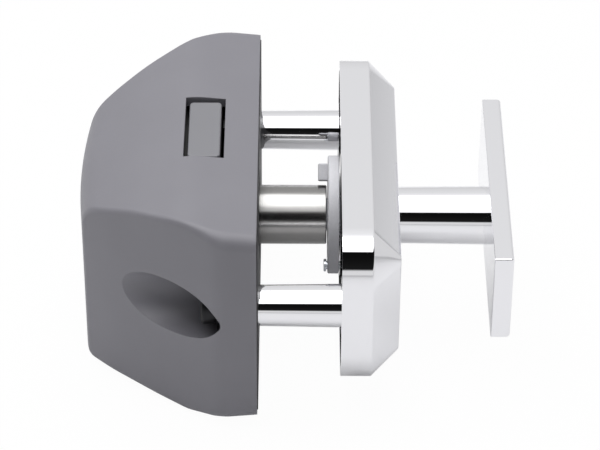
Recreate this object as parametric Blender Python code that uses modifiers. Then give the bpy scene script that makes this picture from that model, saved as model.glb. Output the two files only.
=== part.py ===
"""Through-door cupboard lock.

A T handle on a chrome escutcheon turns a square spindle that runs through the door. Inside
the cupboard a grey case is pulled against the door by two long screws, which go into the
escutcheon's posts. A crank pin on the spindle lifts a flat bolt out of the case's top.

Frame, in metres: the origin is on the door's outer face, on the spindle axis. +X points out
of the cupboard, towards the handle. Y runs along the lock. +Z is the way the bolt comes out.
The model stands at rest as pictured: the handle lies along the lock and the bolt is in.
"""

from math import atan2, ceil, cos, pi, radians, sin, sqrt, tan

import bmesh
import bpy
import numpy as np
from mathutils import Matrix, Vector

# Fits
CLEARANCE = 0.0003
CUTTER_OVERRUN = 0.002
MERGE_DISTANCE = 0.00001

# Door between the two halves
DOOR_THICKNESS = 0.019

# Case: depths are measured from the door's inner face, away from the door
CASE_DEPTH = 0.0418
CASE_HALF_LENGTH = 0.0412
CASE_TOP = 0.0246
CASE_BOTTOM = 0.0285
CASE_WALL = 0.0024
CASE_END_STRAIGHT = 0.0088
CASE_END_BLEND = 0.008
CASE_SLOPE_DEPTH = 0.024
CASE_SLOPE_DROP = 0.0100
CASE_SLOPE_BOW = 0.100
CASE_FRONT_DROP = 0.0228
CASE_FRONT_CORNER = 0.002
CASE_FRONT_BOW = 0.0012
CASE_BOW_REACH = 0.009
CASE_CREST_DEPTH = 0.0165
CASE_CREST_BLEND = 0.020
CASE_TOP_RISE = 0.0018
CASE_BOTTOM_RISE = 0.0017
CASE_SHOULDER_DEPTH = 0.028
CASE_SHOULDER_DROP = 0.0018
CASE_SHOULDER_BLEND = 0.040
CASE_TOP_DROP = 0.0085
CASE_TOP_NOSE = 0.008
CASE_BOTTOM_NOSE = 0.002
CASE_EDGE_AT_DOOR = 0.0034
CASE_EDGE_ON_SLOPE = 0.0013
CASE_RIM_SETBACK = 0.0002
CASE_LIP = 0.0009

# Base plate, which closes the case at the door
BASE_THICKNESS = 0.0024
BASE_CORNER = 0.0021
BASE_SCREW_FROM_POST = 0.0094
BASE_SCREW_FROM_EDGE = 0.0046
BASE_SCREW_BOSS = 0.0034
BASE_BEARING_WALL = 0.002
BASE_BEARING_DEPTH = 0.0047

# Fixing posts, cast with the escutcheon, and their screws
POST_FROM_END = 0.0078
POST_TIP_RADIUS = 0.00465
POST_ROOT_RADIUS = 0.00497
POST_DEPTH_IN_CASE = 0.0052
POST_SOCKET_RADIUS = 0.0053
POST_SOCKET_DEPTH = 0.0055
CLAMP_WEB = 0.0025
COUNTERBORE_RADIUS = 0.0075
COUNTERBORE_WALL = 0.0018
FIXING_SCREW_RADIUS = 0.0025
FIXING_SCREW_LENGTH = 0.024
FIXING_HEAD_RADIUS = 0.0044
FIXING_HEAD_HEIGHT = 0.0034
FIXING_DRIVE_RADIUS = 0.002
FIXING_DRIVE_DEPTH = 0.002
FIXING_WASHER_RADIUS = 0.0056
FIXING_WASHER_THICKNESS = 0.001

# Escutcheon
ESCUTCHEON_SETBACK = 0.0010
ESCUTCHEON_HALF_HEIGHT = 0.0204
ESCUTCHEON_CORNER = 0.009
ESCUTCHEON_SIDE = 0.0070
ESCUTCHEON_BEVEL_DEPTH = 0.0064
ESCUTCHEON_BEVEL_INSET = 0.0068
ESCUTCHEON_EDGE = 0.0005
ESCUTCHEON_WALL = 0.0022
ESCUTCHEON_POCKET = 0.0070
ESCUTCHEON_BOSS_RADIUS = 0.0145
ESCUTCHEON_POST_BOSS = 0.0068
RETAINER_POCKET_RADIUS = 0.0099
RETAINER_POCKET_DEPTH = 0.005

# Bearing plate behind the escutcheon
BEARING_PLATE_RADIUS = 0.0140
BEARING_PLATE_THICKNESS = 0.0026
LUG_RADIUS = 0.0100
LUG_ANGLE = radians(50)
LUG_SIZE = (0.0023, 0.0042, 0.0041)
BEARING_SCREW_CIRCLE = 0.0120
BEARING_SCREW_ANGLES = (radians(-130), radians(-40))
BEARING_SCREW_RADIUS = 0.001
BEARING_SCREW_DEPTH = 0.0032
BEARING_HEAD_RADIUS = 0.0015
BEARING_HEAD_HEIGHT = 0.0006

# Handle
GRIP_DISTANCE = 0.0347
GRIP_THICKNESS = 0.0045
GRIP_HALF_LENGTH = 0.0308
GRIP_HALF_HEIGHT = 0.01165
GRIP_EDGE = 0.0007
STEM_JOURNAL_RADIUS = 0.0066
STEM_RADIUS = 0.0067
STEM_ROOT_RADIUS = 0.00695
STEM_END = 0.0012
STEM_BUSH_WALL = 0.0014
STEM_BUSH_RECESS = 0.0002
CIRCLIP_X = 0.0026
CIRCLIP_THICKNESS = 0.001
CIRCLIP_RADIUS = 0.009
CIRCLIP_GROOVE_RADIUS = 0.006
CIRCLIP_OPENING = radians(70)
WAVE_THICKNESS = 0.0003
WAVE_HEIGHT = 0.0002
WAVE_COUNT = 3
WAVE_INNER_RADIUS = 0.0072
WAVE_OUTER_RADIUS = 0.0094

# Spindle and its sleeve: the bar's flats stand at 45 degrees, clear of the crank pin
SPINDLE_SIDE = 0.007
SPINDLE_TURN = radians(45)
SPINDLE_INNER_END = -0.0249
SPINDLE_OUTER_END = 0.0145
SPINDLE_EDGE = 0.0003
SLEEVE_RADIUS = 0.007
SLEEVE_BORE = 0.0053
SPINDLE_PIN_X = 0.0085
SPINDLE_PIN_RADIUS = 0.0012

# Crank hub: depths from the door's inner face
TURN = radians(90)
HUB_COLLAR_RADIUS = 0.0088
HUB_COLLAR_DEPTH = 0.001
HUB_DISC_THICKNESS = 0.0036
HUB_DISC_RADIUS = 0.0115
HUB_BUSH_WALL = 0.0015
CRANK_PIN_RADIUS = 0.002
CRANK_PIN_FLOOR = 0.0006
DETENT_NOTCH = 0.0009
DETENT_NOTCH_WIDTH = 0.0030

# Bolt
BOLT_STROKE = 0.010
BOLT_LENGTH = 0.021
BOLT_THICKNESS = 0.0075
BOLT_RECESS = 0.0012
BOLT_EDGE = 0.0006
BOLT_CORNER = 0.0010
BOLT_FOOT = 0.0020
BOLT_WINDOW_GAP = 0.0009
BOLT_SLOT_PLAY = 0.0005

# Chassis plate that guides the bolt
CHASSIS_THICKNESS = 0.0022
CHASSIS_HALF_LENGTH = 0.019
CHASSIS_TOP_GAP = 0.0031
CHASSIS_BOTTOM = -0.014
CHASSIS_RAIL_WIDTH = 0.0024
CHASSIS_SCREW_Y = 0.016
CHASSIS_SCREW_Z = (0.010, -0.010)
CHASSIS_SCREW_BOSS = 0.003
GUIDE_RIB_Y = (0.006, 0.009)
GUIDE_RIB_HEIGHT = 0.0075
GUIDE_RIB_TOP_GAP = 0.0036

# Small screws, self-tapping
TAPPING_RADIUS = 0.0013
TAPPING_LENGTH = 0.009
TAPPING_HEAD_RADIUS = 0.0025
TAPPING_HEAD_HEIGHT = 0.0014

# Detent spring: a strip under the hub disc, with a bump that drops in a notch
DETENT_STRIP_THICKNESS = 0.0004
DETENT_STRIP_WIDTH = 0.0028
DETENT_FIXED_Y = -0.0210
DETENT_FREE_Y = 0.0080
DETENT_BUMP_HALF_WIDTH = 0.0026
DETENT_BUMP_HEIGHT = 0.0008
DETENT_SCREW_Y = -0.0180
DETENT_SCREW_RADIUS = 0.0011
DETENT_SCREW_LENGTH = 0.0055
DETENT_HEAD_RADIUS = 0.0020
DETENT_HEAD_HEIGHT = 0.0012
DETENT_POST_Y = (-0.0213, -0.0148)
DETENT_POST_HEIGHT = 0.0065

# Facets
SIDES_LARGE = 40
SIDES_MEDIUM = 28
SIDES_SMALL = 12
ARC_STEP = radians(15)
SMALL_RADIUS = 0.0015
SMALL_ARC_STEP = radians(30)
RING_SPACING = 0.0011

# Places that follow from the sizes
CASE_FRONT_HALF_LENGTH = CASE_HALF_LENGTH - CASE_FRONT_DROP
POST_Y = CASE_HALF_LENGTH - POST_FROM_END
BASE_SCREW_Y = POST_Y - BASE_SCREW_FROM_POST
BASE_SCREW_Z = (CASE_TOP - BASE_SCREW_FROM_EDGE, BASE_SCREW_FROM_EDGE - CASE_BOTTOM)
ESCUTCHEON_HALF_LENGTH = CASE_HALF_LENGTH - ESCUTCHEON_SETBACK
CHASSIS_TOP = CASE_TOP - CHASSIS_TOP_GAP
GUIDE_RIB_TOP = CASE_TOP - GUIDE_RIB_TOP_GAP
HUB_DISC_DEPTH = BASE_BEARING_DEPTH + CLEARANCE
BOLT_DEPTH = HUB_DISC_DEPTH + HUB_DISC_THICKNESS + CLEARANCE
CASE_FACE = -DOOR_THICKNESS
BASE_BACK = CASE_FACE - BASE_THICKNESS
BOSS_FACE = BASE_BACK - CLEARANCE
CRANK_RADIUS = BOLT_STROKE / (2 * sin(TURN / 2))
BOLT_FRONT = CASE_FACE - BOLT_DEPTH
BOLT_BACK = BOLT_FRONT - BOLT_THICKNESS
CHASSIS_FRONT = BOLT_BACK - CLEARANCE
CHASSIS_BACK = CHASSIS_FRONT - CHASSIS_THICKNESS
HUB_DISC_FRONT = CASE_FACE - HUB_DISC_DEPTH
HUB_DISC_BACK = HUB_DISC_FRONT - HUB_DISC_THICKNESS
CLAMP_SEAT = CASE_FACE - POST_SOCKET_DEPTH - CLAMP_WEB
ESCUTCHEON_FRONT = ESCUTCHEON_SIDE + ESCUTCHEON_BEVEL_DEPTH
STEM_BORE = STEM_JOURNAL_RADIUS + CLEARANCE + STEM_BUSH_WALL + CLEARANCE
HUB_BORE = HUB_COLLAR_RADIUS + CLEARANCE + HUB_BUSH_WALL + CLEARANCE
FAR_IN_CASE = CASE_FACE - CASE_DEPTH - CUTTER_OVERRUN
ALONG_X = (0, pi / 2, 0)

for stale in list(bpy.data.objects):
    bpy.data.objects.remove(stale)

PARTS = bpy.data.collections.new("cupboard_lock")
CUTTERS = bpy.data.collections.new("cutters")
bpy.context.scene.collection.children.link(PARTS)
bpy.context.scene.collection.children.link(CUTTERS)


def finish(name, colour, metallic, roughness):
    """A Principled material, made once under its name."""
    material = bpy.data.materials.get(name) or bpy.data.materials.new(name)
    material.use_nodes = True
    shader = material.node_tree.nodes["Principled BSDF"]
    shader.inputs["Base Color"].default_value = (*colour, 1)
    shader.inputs["Metallic"].default_value = metallic
    shader.inputs["Roughness"].default_value = roughness
    return material


def case_plastic():
    return finish("case_plastic", (0.24, 0.24, 0.25), 0, 0.5)


def base_plastic():
    return finish("base_plastic", (0.03, 0.03, 0.03), 0, 0.5)


def bolt_plastic():
    return finish("bolt_plastic", (0.23, 0.23, 0.24), 0, 0.45)


def bearing_plastic():
    return finish("bearing_plastic", (0.03, 0.03, 0.03), 0, 0.35)


def chrome():
    return finish("chrome", (0.85, 0.85, 0.86), 1, 0.05)


def satin_steel():
    return finish("satin_steel", (0.55, 0.55, 0.56), 1, 0.3)


def satin_zinc():
    return finish("satin_zinc", (0.45, 0.45, 0.46), 1, 0.4)


def black_oxide():
    return finish("black_oxide", (0.03, 0.03, 0.03), 1, 0.4)


def zinc_plate():
    return finish("zinc_plate", (0.55, 0.56, 0.58), 1, 0.35)


def spring_steel():
    return finish("spring_steel", (0.35, 0.35, 0.37), 1, 0.3)


def move_to(collection, obj):
    """Leave the object in one collection only."""
    for home in list(obj.users_collection):
        home.objects.unlink(obj)
    collection.objects.link(obj)


def as_part(obj, material):
    """Finish an object as a piece of the lock."""
    obj.data.materials.clear()
    obj.data.materials.append(material)
    obj.data.shade_smooth()
    obj.data.set_sharp_from_angle(angle=radians(30))
    move_to(PARTS, obj)
    return obj


def as_cutter(obj):
    """Hide an object that only shapes another."""
    obj.hide_render = True
    obj.display_type = "WIRE"
    move_to(CUTTERS, obj)
    return obj


def combine(target, tools, operation):
    for tool in tools:
        change = target.modifiers.new(operation.lower(), "BOOLEAN")
        change.operation = operation
        change.object = as_cutter(tool)


def cut(target, *tools):
    combine(target, tools, "DIFFERENCE")


def join(target, *tools):
    combine(target, tools, "UNION")


def round_edges(obj, radius, segments=2):
    bevel = obj.modifiers.new("edges", "BEVEL")
    bevel.width = radius
    bevel.segments = segments
    bevel.limit_method = "ANGLE"
    bevel.angle_limit = radians(30)


def object_from(name, bm):
    mesh = bpy.data.meshes.new(name)
    bm.to_mesh(mesh)
    bm.free()
    obj = bpy.data.objects.new(name, mesh)
    CUTTERS.objects.link(obj)
    return obj


def rod(name, radius, x_low, x_high, y=0, z=0, sides=SIDES_MEDIUM):
    """A cylinder along X."""
    bpy.ops.mesh.primitive_cylinder_add(
        vertices=sides, radius=radius, depth=x_high - x_low,
        location=((x_low + x_high) / 2, y, z), rotation=ALONG_X)
    obj = bpy.context.object
    obj.name = name
    return obj


def block(name, x_range, y_range, z_range):
    """A box between two values on each axis."""
    ranges = (x_range, y_range, z_range)
    centre = [(low + high) / 2 for low, high in ranges]
    size = [high - low for low, high in ranges]
    bpy.ops.mesh.primitive_cube_add(size=1, location=centre)
    obj = bpy.context.object
    obj.name = name
    obj.data.transform(Matrix.Diagonal((*size, 1)))
    return obj


def turned(name, profile, y=0, z=0, sides=SIDES_MEDIUM, ring=False):
    """A solid turned about X from (x, radius) points, given from high x to low x.

    A ring's profile goes on up its bore and is closed.
    """
    mesh = bpy.data.meshes.new(name)
    edges = [(i, i + 1) for i in range(len(profile) - 1)]
    if ring:
        edges.append((len(profile) - 1, 0))
    mesh.from_pydata([(radius, 0, x) for x, radius in profile], edges, [])
    obj = bpy.data.objects.new(name, mesh)
    CUTTERS.objects.link(obj)
    obj.location = (0, y, z)
    obj.rotation_euler = ALONG_X
    screw = obj.modifiers.new("turn", "SCREW")
    screw.steps = sides
    screw.render_steps = sides
    screw.use_merge_vertices = True
    screw.merge_threshold = MERGE_DISTANCE
    return obj


def tube(name, x_low, x_high, bore, radius, sides=SIDES_MEDIUM, y=0, z=0):
    """A plain ring along X."""
    profile = [(x_high, radius), (x_low, radius), (x_low, bore), (x_high, bore)]
    return turned(name, profile, y, z, sides, ring=True)


def evaluated(obj):
    """The object as its modifiers leave it, as a new mesh in world space."""
    bpy.context.view_layer.update()
    graph = bpy.context.evaluated_depsgraph_get()
    mesh = bpy.data.meshes.new_from_object(obj.evaluated_get(graph))
    mesh.transform(obj.matrix_world)
    return mesh


def copies(name, one, places, material):
    """One numbered object for each offset, all with the same mesh."""
    mesh = evaluated(one)
    bpy.data.objects.remove(one)
    for number, place in enumerate(places, 1):
        obj = bpy.data.objects.new(f"{name}_{number}", mesh)
        CUTTERS.objects.link(obj)
        obj.location = place
        as_part(obj, material)


def cutters_at(name, one, places):
    """Copies of one cutter at several offsets, as one object."""
    mesh = evaluated(one)
    bm = bmesh.new()
    for place in places:
        start = len(bm.verts)
        bm.from_mesh(mesh)
        bm.verts.ensure_lookup_table()
        bmesh.ops.translate(bm, verts=bm.verts[start:], vec=Vector(place))
    bpy.data.objects.remove(one)
    return object_from(name, bm)


def rounded(corners, closed=True):
    """Points of an outline whose corners, (u, v, radius), are filled in with arcs."""
    points = []
    count = len(corners)
    for i, (u, v, radius) in enumerate(corners):
        if radius == 0 or (not closed and i in (0, count - 1)):
            points.append((u, v))
            continue
        here = Vector((u, v))
        before = (Vector(corners[i - 1][:2]) - here).normalized()
        after = (Vector(corners[(i + 1) % count][:2]) - here).normalized()
        half_angle = before.angle(after) / 2
        reach = radius / tan(half_angle)
        centre = here + (before + after).normalized() * (radius / sin(half_angle))
        first = here + before * reach - centre
        last = here + after * reach - centre
        sweep = first.angle_signed(last)
        step = SMALL_ARC_STEP if radius < SMALL_RADIUS else ARC_STEP
        pieces = max(2, ceil(abs(sweep) / step))
        start = atan2(first.y, first.x)
        for k in range(pieces + 1):
            angle = start - sweep * k / pieces
            points.append((centre.x + radius * cos(angle), centre.y + radius * sin(angle)))
    return points


def rectangle(half_u, low_v, high_v, radius):
    """The corners of a rectangle that is centred along its first axis."""
    return [(half_u, low_v, radius), (half_u, high_v, radius),
            (-half_u, high_v, radius), (-half_u, low_v, radius)]


def plate(name, outline, x_low, x_high):
    """A flat outline in Y and Z, thickened along X, as a welded mesh."""
    curve = bpy.data.curves.new(name, "CURVE")
    curve.dimensions = "2D"
    curve.fill_mode = "BOTH"
    curve.extrude = (x_high - x_low) / 2
    spline = curve.splines.new("POLY")
    spline.points.add(len(outline) - 1)
    for point, (y, z) in zip(spline.points, outline):
        point.co = (y, z, 0, 1)
    spline.use_cyclic_u = True
    guide = bpy.data.objects.new(name, curve)
    CUTTERS.objects.link(guide)
    guide.rotation_euler = (pi / 2, 0, pi / 2)
    guide.location = ((x_low + x_high) / 2, 0, 0)
    bm = bmesh.new()
    bm.from_mesh(evaluated(guide))
    bmesh.ops.remove_doubles(bm, verts=bm.verts, dist=MERGE_DISTANCE)
    bmesh.ops.dissolve_limit(bm, angle_limit=radians(1), verts=bm.verts, edges=bm.edges)
    bpy.data.objects.remove(guide)
    return object_from(name, bm)


def case_profiles():
    """The case's half length, top and bottom, each as (depth, size) points from door to front."""
    length = [(0, CASE_HALF_LENGTH, 0),
              (CASE_END_STRAIGHT, CASE_HALF_LENGTH, CASE_END_BLEND),
              (CASE_SLOPE_DEPTH, CASE_HALF_LENGTH - CASE_SLOPE_DROP, CASE_SLOPE_BOW),
              (CASE_DEPTH, CASE_FRONT_HALF_LENGTH, CASE_FRONT_CORNER),
              (CASE_DEPTH, 0, 0)]
    top = [(0, CASE_TOP, 0),
           (CASE_CREST_DEPTH, CASE_TOP + CASE_TOP_RISE, CASE_CREST_BLEND),
           (CASE_SHOULDER_DEPTH, CASE_TOP - CASE_SHOULDER_DROP, CASE_SHOULDER_BLEND),
           (CASE_DEPTH, CASE_TOP - CASE_TOP_DROP, CASE_TOP_NOSE),
           (CASE_DEPTH, 0, 0)]
    bottom = [(0, CASE_BOTTOM, 0),
              (CASE_CREST_DEPTH, CASE_BOTTOM + CASE_BOTTOM_RISE, CASE_CREST_BLEND),
              (CASE_DEPTH, CASE_BOTTOM, CASE_BOTTOM_NOSE),
              (CASE_DEPTH, 0, 0)]
    return [np.array(rounded(corners, closed=False)[:-1]) for corners in (length, top, bottom)]


def case_form(name, inset, first_depth):
    """The case's rounded form as a loft of unlike rounded rectangles, shrunk by an inset.

    Each ring has a top row and a bottom row with the same Y values, so that both ends close
    with flat strips. The last rings bend back towards their ends, for the bowed front.
    """
    length, top, bottom = case_profiles()
    nose_start = CASE_DEPTH - CASE_TOP_NOSE
    nose = [nose_start + CASE_TOP_NOSE * sin(radians(angle)) for angle in range(0, 91, 15)]
    depths = [0]
    for depth in sorted([*length[:, 0], *top[:, 0]]):
        if depths[-1] + RING_SPACING < depth < nose_start - RING_SPACING:
            depths.append(depth)
    depths += nose
    row_steps = 8
    corner_steps = 4
    bm = bmesh.new()
    rings = []
    for depth in depths:
        half = np.interp(depth, length[:, 0], length[:, 1]) - inset
        high = np.interp(depth, top[:, 0], top[:, 1]) - inset
        low = np.interp(depth, bottom[:, 0], bottom[:, 1]) - inset
        share = depth / CASE_DEPTH
        edge = np.interp(depth, (CASE_END_STRAIGHT, CASE_CREST_DEPTH),
                         (CASE_EDGE_AT_DOOR, CASE_EDGE_ON_SLOPE))
        edge = max(edge - inset, CLEARANCE)
        corner = [(sin(angle), cos(angle))
                  for angle in np.linspace(pi / 2, 0, corner_steps + 1)]
        side = [(half - edge + edge * s, edge - edge * c) for s, c in corner]
        flat = [((half - edge) * (1 - 2 * k / row_steps), 0) for k in range(1, row_steps)]
        row = side + flat + [(-y, drop) for y, drop in reversed(side)]
        bend = max(0, (depth - CASE_DEPTH + CASE_BOW_REACH) / CASE_BOW_REACH) ** 2
        placed = first_depth if depth == 0 else depth - inset * share
        ring = []
        for sign, size in ((1, high), (-1, low)):
            line = []
            for y, drop in row:
                back = CASE_FRONT_BOW * bend * (y / CASE_FRONT_HALF_LENGTH) ** 2
                x = CASE_FACE - placed + back
                line.append(bm.verts.new((x, y, sign * (size - drop))))
            ring.append(line)
        rings.append(ring)
    for (upper, lower), (next_upper, next_lower) in zip(rings, rings[1:]):
        for i in range(len(upper) - 1):
            bm.faces.new((upper[i], upper[i + 1], next_upper[i + 1], next_upper[i]))
            bm.faces.new((lower[i], next_lower[i], next_lower[i + 1], lower[i + 1]))
        bm.faces.new((upper[0], next_upper[0], next_lower[0], lower[0]))
        bm.faces.new((upper[-1], lower[-1], next_lower[-1], next_upper[-1]))
    for upper, lower in (rings[0], rings[-1]):
        for i in range(len(upper) - 1):
            bm.faces.new((upper[i], lower[i], lower[i + 1], upper[i + 1]))
    bmesh.ops.recalc_face_normals(bm, faces=bm.faces)
    return object_from(name, bm)


def screw_places(y, z_values):
    """The four corners of a pattern that is even in Y."""
    return [(0, side * y, z) for side in (-1, 1) for z in z_values]


def rods_at(name, radius, x_low, x_high, places, sides=SIDES_SMALL):
    return cutters_at(name, rod(name + "_one", radius, x_low, x_high, sides=sides), places)


POST_PLACES = [(0, -POST_Y, 0), (0, POST_Y, 0)]
BASE_SCREW_PLACES = screw_places(BASE_SCREW_Y, BASE_SCREW_Z)
CHASSIS_SCREW_PLACES = screw_places(CHASSIS_SCREW_Y, CHASSIS_SCREW_Z)


def make_case():
    """The moulded case: a shell with bosses, two deep screw wells and the bolt's window."""
    case = case_form("case", 0, CASE_RIM_SETBACK)
    cavity = case_form("case_cavity", CASE_WALL, -CUTTER_OVERRUN)
    well_boss = COUNTERBORE_RADIUS + COUNTERBORE_WALL
    cut(cavity,
        rods_at("well_bosses", well_boss, FAR_IN_CASE, BOSS_FACE, POST_PLACES, SIDES_MEDIUM),
        rods_at("base_bosses", BASE_SCREW_BOSS, FAR_IN_CASE, BOSS_FACE, BASE_SCREW_PLACES),
        rods_at("chassis_bosses", CHASSIS_SCREW_BOSS, FAR_IN_CASE, CHASSIS_BACK - CLEARANCE,
                CHASSIS_SCREW_PLACES))
    rebate_outline = rounded(rectangle(
        CASE_HALF_LENGTH - CASE_LIP, CASE_LIP - CASE_BOTTOM, CASE_TOP - CASE_LIP,
        BASE_CORNER + CLEARANCE))
    window = block("bolt_window",
                   (BOLT_BACK - BOLT_WINDOW_GAP, BOLT_FRONT + BOLT_WINDOW_GAP),
                   (-BOLT_LENGTH / 2 - BOLT_WINDOW_GAP, BOLT_LENGTH / 2 + BOLT_WINDOW_GAP),
                   (CASE_TOP - 2 * CASE_WALL, CASE_TOP + CASE_TOP_RISE + CUTTER_OVERRUN))
    screw_hole = TAPPING_RADIUS + CLEARANCE
    deep = TAPPING_LENGTH + CUTTER_OVERRUN
    cut(case,
        cavity,
        plate("base_rebate", rebate_outline, BOSS_FACE, CASE_FACE + CUTTER_OVERRUN),
        rods_at("counterbores", COUNTERBORE_RADIUS, FAR_IN_CASE, CLAMP_SEAT, POST_PLACES,
                SIDES_MEDIUM),
        rods_at("post_sockets", POST_SOCKET_RADIUS, CASE_FACE - POST_SOCKET_DEPTH,
                CASE_FACE, POST_PLACES, SIDES_MEDIUM),
        rods_at("fixing_holes", FIXING_SCREW_RADIUS + CLEARANCE, CLAMP_SEAT - CUTTER_OVERRUN,
                CASE_FACE - POST_SOCKET_DEPTH + CUTTER_OVERRUN, POST_PLACES),
        rods_at("base_pilots", screw_hole, CASE_FACE - deep, CASE_FACE, BASE_SCREW_PLACES),
        rods_at("chassis_pilots", screw_hole, CHASSIS_FRONT - deep, CHASSIS_FRONT,
                CHASSIS_SCREW_PLACES),
        window)
    return as_part(case, case_plastic())


def make_base_plate():
    """The plate at the door, with the hub's bearing ring, the bolt's ribs and the spring's post."""
    inset = CASE_LIP + CLEARANCE
    outline = rounded(rectangle(
        CASE_HALF_LENGTH - inset, inset - CASE_BOTTOM, CASE_TOP - inset, BASE_CORNER))
    base = plate("base_plate", outline, BASE_BACK, CASE_FACE)
    sunk = BASE_BACK + CLEARANCE
    rib_back = BOLT_FRONT + CLEARANCE
    for side in (-1, 1):
        y_range = sorted(side * y for y in GUIDE_RIB_Y)
        join(base, block("guide_rib", (rib_back, sunk), y_range,
                         (GUIDE_RIB_TOP - GUIDE_RIB_HEIGHT, GUIDE_RIB_TOP)))
    top = detent_strip_low() - CLEARANCE
    join(base,
         rod("bearing_ring", HUB_BORE + BASE_BEARING_WALL, CASE_FACE - BASE_BEARING_DEPTH, sunk),
         block("detent_post", (HUB_DISC_BACK, sunk), DETENT_POST_Y,
               (top - DETENT_POST_HEIGHT, top)))
    through = (BOLT_BACK, CASE_FACE + CUTTER_OVERRUN)
    cut(base,
        rod("bearing_bore", HUB_BORE, *through),
        rods_at("post_holes", POST_SOCKET_RADIUS, *through, POST_PLACES, SIDES_MEDIUM),
        rods_at("base_screw_holes", TAPPING_RADIUS + CLEARANCE, *through, BASE_SCREW_PLACES),
        rods_at("base_screw_seats", TAPPING_HEAD_RADIUS + CLEARANCE,
                CASE_FACE - TAPPING_HEAD_HEIGHT - CLEARANCE, CASE_FACE + CUTTER_OVERRUN,
                BASE_SCREW_PLACES),
        upright("detent_pilot", DETENT_SCREW_RADIUS + CLEARANCE,
                top - DETENT_SCREW_LENGTH, top + CUTTER_OVERRUN))
    return as_part(base, base_plastic())


def upright(name, radius, z_low, z_high):
    """A cylinder along Z on the detent screw's axis."""
    bpy.ops.mesh.primitive_cylinder_add(
        vertices=SIDES_SMALL, radius=radius, depth=z_high - z_low,
        location=(detent_x(), DETENT_SCREW_Y, (z_low + z_high) / 2))
    obj = bpy.context.object
    obj.name = name
    return obj


def detent_x():
    return (HUB_DISC_FRONT + HUB_DISC_BACK) / 2


def detent_strip_low():
    """The underside of the detent spring, which runs just under the hub disc."""
    return -HUB_DISC_RADIUS - CLEARANCE - DETENT_STRIP_THICKNESS


def headed_screw(name, x_seat, radius, length, head_radius, head_height, drive_radius,
                 drive_depth, towards):
    """A round-headed screw with a hexagon drive. Its shank leaves the seat towards +X or -X."""
    head_top = x_seat - towards * head_height
    tip = x_seat + towards * length
    crown = 0.7 * head_radius
    profile = [(tip, 0), (tip, radius * 0.7), (tip - towards * radius, radius),
               (x_seat, radius), (x_seat, head_radius),
               (x_seat - towards * head_height * 0.6, head_radius),
               (head_top, crown), (head_top, 0)]
    if towards < 0:
        profile.reverse()
    screw = turned(name, profile, sides=SIDES_SMALL)
    drive = sorted((head_top - towards * CUTTER_OVERRUN, head_top + towards * drive_depth))
    cut(screw, rod(name + "_drive", drive_radius, *drive, sides=6))
    return screw


def make_base_screws():
    seat = CASE_FACE - TAPPING_HEAD_HEIGHT
    one = headed_screw("base_screw_one", seat, TAPPING_RADIUS, TAPPING_LENGTH - TAPPING_HEAD_HEIGHT,
                       TAPPING_HEAD_RADIUS, TAPPING_HEAD_HEIGHT - CLEARANCE, TAPPING_RADIUS,
                       TAPPING_HEAD_HEIGHT / 2, -1)
    copies("base_screw", one, BASE_SCREW_PLACES, zinc_plate())


def make_chassis():
    """A moulded plate across the case, with two rails that the bolt slides between."""
    outline = rounded(rectangle(
        CHASSIS_HALF_LENGTH, CHASSIS_BOTTOM, CHASSIS_TOP, CLEARANCE * 10))
    chassis = plate("chassis", outline, CHASSIS_BACK, CHASSIS_FRONT)
    inner = BOLT_LENGTH / 2 + CLEARANCE
    rail_top = BOLT_FRONT
    for side in (-1, 1):
        y_range = sorted((side * inner, side * (inner + CHASSIS_RAIL_WIDTH)))
        join(chassis, block("chassis_rail", (CHASSIS_FRONT - CLEARANCE, rail_top), y_range,
                            (CHASSIS_BOTTOM, CHASSIS_TOP)))
    cut(chassis, rods_at("chassis_holes", TAPPING_RADIUS + CLEARANCE,
                         CHASSIS_BACK - CUTTER_OVERRUN, CHASSIS_FRONT + CUTTER_OVERRUN,
                         CHASSIS_SCREW_PLACES))
    return as_part(chassis, bearing_plastic())


def make_chassis_screws():
    one = headed_screw("chassis_screw_one", CHASSIS_FRONT + CLEARANCE, TAPPING_RADIUS,
                       TAPPING_LENGTH, TAPPING_HEAD_RADIUS, TAPPING_HEAD_HEIGHT, TAPPING_RADIUS,
                       TAPPING_HEAD_HEIGHT / 2, -1)
    copies("chassis_screw", one, CHASSIS_SCREW_PLACES, zinc_plate())


def make_hub_bush():
    """The acetal ring that the hub's collar turns in."""
    inner = HUB_COLLAR_RADIUS + CLEARANCE
    bush = tube("hub_bush", CASE_FACE - BASE_BEARING_DEPTH, CASE_FACE - HUB_COLLAR_DEPTH,
                inner, inner + HUB_BUSH_WALL)
    return as_part(bush, bearing_plastic())


def make_crank_hub():
    """The hub on the spindle: a collar, and a disc with a socket for the crank pin."""
    profile = [(CASE_FACE - HUB_COLLAR_DEPTH, 0), (CASE_FACE - HUB_COLLAR_DEPTH, HUB_COLLAR_RADIUS),
               (HUB_DISC_FRONT, HUB_COLLAR_RADIUS), (HUB_DISC_FRONT, HUB_DISC_RADIUS),
               (HUB_DISC_BACK, HUB_DISC_RADIUS), (HUB_DISC_BACK, 0)]
    hub = turned("crank_hub", profile, sides=SIDES_LARGE)
    open_back = HUB_DISC_BACK - CUTTER_OVERRUN
    y, z = crank_pin_place()
    cut(hub,
        square_bar("hub_square", SPINDLE_SIDE + 2 * CLEARANCE, open_back, CASE_FACE),
        rod("crank_pin_hole", CRANK_PIN_RADIUS + CLEARANCE, open_back,
            HUB_DISC_FRONT - CRANK_PIN_FLOOR, y, z, SIDES_SMALL))
    for angle in (-pi / 2, -pi / 2 - TURN):
        cut(hub, detent_notch(angle))
    return as_part(hub, satin_zinc())


def square_bar(name, side, x_low, x_high):
    """A square bar along X, turned as the spindle is."""
    bar = block(name, (x_low, x_high), (-side / 2, side / 2), (-side / 2, side / 2))
    bar.rotation_euler = (SPINDLE_TURN, 0, 0)
    return bar


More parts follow.
